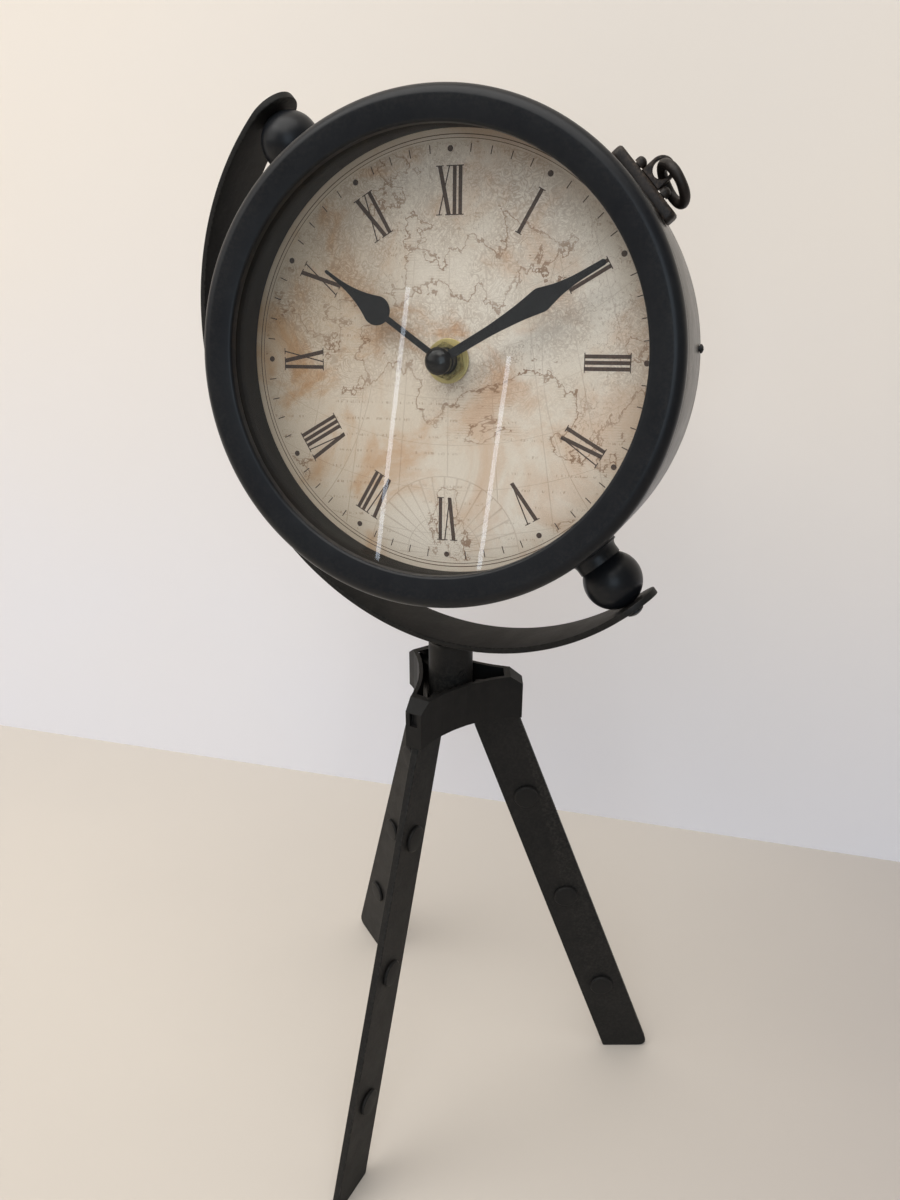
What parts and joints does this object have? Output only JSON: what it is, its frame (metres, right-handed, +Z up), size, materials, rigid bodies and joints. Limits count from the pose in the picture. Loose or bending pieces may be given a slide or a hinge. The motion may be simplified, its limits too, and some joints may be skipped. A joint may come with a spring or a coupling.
{
  "type": "table_clock",
  "caption": "Table clock with an antique-chart dial in a black drum that tilts in a strap arm on a riveted tripod stand, 413 mm tall",
  "frame": {"origin": "on the floor, under the middle of the box round the whole clock", "axes": "+Z up from the floor, -Y the side the dial looks towards (the dial is turned 12 degrees to +X and leans back), +X to the right as the clock is faced"},
  "size_m": [0.1884, 0.148, 0.4132],
  "materials": {
    "black_paint": "satin black paint",
    "gloss_shell": "glossy near-black lacquer",
    "cast_brown": "dark brown, slightly rough casting",
    "paper": "printed paper, matt, aged cream",
    "glass": "clear, flat",
    "brass": "plain turned brass",
    "hand_black": "matt black",
    "cap_black": "gloss black",
    "steel": "plain steel",
    "black_plastic": "black moulded",
    "white_plastic": "off-white moulded",
    "battery_sleeve": "printed sleeve, satin",
    "rubber": "black",
    "copper": "enamelled copper wire",
    "circuit_board": "green laminate"
  },
  "bodies": {
    "stand": {"leg_right": "black_paint", "leg_rivet_right_1": "black_paint", "leg_rivet_right_2": "black_paint", "leg_rivet_right_3": "black_paint", "leg_left": "black_paint", "leg_rivet_left_1": "black_paint", "leg_rivet_left_2": "black_paint", "leg_rivet_left_3": "black_paint", "leg_front": "black_paint", "leg_rivet_front_1": "black_paint", "leg_rivet_front_2": "black_paint", "leg_rivet_front_3": "black_paint", "collar": "black_paint", "hub_spindle": "steel"},
    "head": {"arm": "black_paint", "post": "black_paint", "post_set_screw": "steel"},
    "clock": {"ball_lower": "black_paint", "ball_foot_lower": "black_paint", "pivot_screw_lower": "black_paint", "pivot_nut_lower": "steel", "ball_upper": "black_paint", "ball_foot_upper": "black_paint", "pivot_screw_upper": "black_paint", "pivot_nut_upper": "steel", "bezel": "black_paint", "glass": "glass", "reveal_ring": "black_paint", "dial_face": "paper", "dial_plate": "steel", "drum_shell": "gloss_shell", "back_cover": "black_paint", "cover_screw_1": "steel", "cover_screw_2": "steel", "cover_screw_3": "steel", "cover_screw_4": "steel", "movement_frame": "black_plastic", "movement_cover": "black_plastic", "movement_gasket": "rubber", "dial_washer": "brass", "dial_nut": "brass", "battery": "battery_sleeve", "contact_positive": "steel", "contact_negative": "steel", "circuit_board": "circuit_board", "motor_coil": "copper", "handle_plate": "cast_brown", "handle_screw_upper": "cast_brown", "handle_screw_lower": "cast_brown"},
    "minute": {"minute_arbor": "steel", "minute_hand": "hand_black", "hand_cap": "cap_black"},
    "hour": {"hour_wheel": "white_plastic", "hour_hand": "hand_black"},
    "setting": {"motion_wheel": "white_plastic", "set_knob": "white_plastic"},
    "ring": {"handle_ring": "cast_brown"}
  },
  "joints": [
    {"name": "head_turn", "type": "hinge", "parent": "stand", "child": "head", "pos_m": [0.01073, 0.02245, 0.209], "axis": [0, 0, 1], "continuous": true},
    {"name": "clock_tilt", "type": "hinge", "parent": "head", "child": "clock", "pos_m": [0.01073, 0.02245, 0.3299], "axis": [0.6926, 0, -0.7213], "continuous": true},
    {"name": "minute_turn", "type": "hinge", "parent": "clock", "child": "minute", "pos_m": [0.01134, 0.01963, 0.33049], "axis": [-0.2073, 0.9578, -0.199], "continuous": true},
    {"name": "hour_turn", "type": "hinge", "parent": "clock", "child": "hour", "pos_m": [0.01134, 0.01963, 0.33049], "axis": [-0.2073, 0.9578, -0.199], "continuous": true},
    {"name": "setting_turn", "type": "hinge", "parent": "clock", "child": "setting", "pos_m": [0.00599, 0.04096, 0.33825], "axis": [-0.2073, 0.9578, -0.199], "continuous": true},
    {"name": "ring_swing", "type": "hinge", "parent": "clock", "child": "ring", "pos_m": [0.06987, 0.04773, 0.38996], "axis": [0.2073, -0.9578, 0.199], "range_deg": [0, 192]}
  ],
  "couplings": [
    {"joint": "hour_turn", "follows": "minute_turn", "ratio": 0.083333},
    {"joint": "setting_turn", "follows": "minute_turn", "ratio": -0.33333}
  ]
}
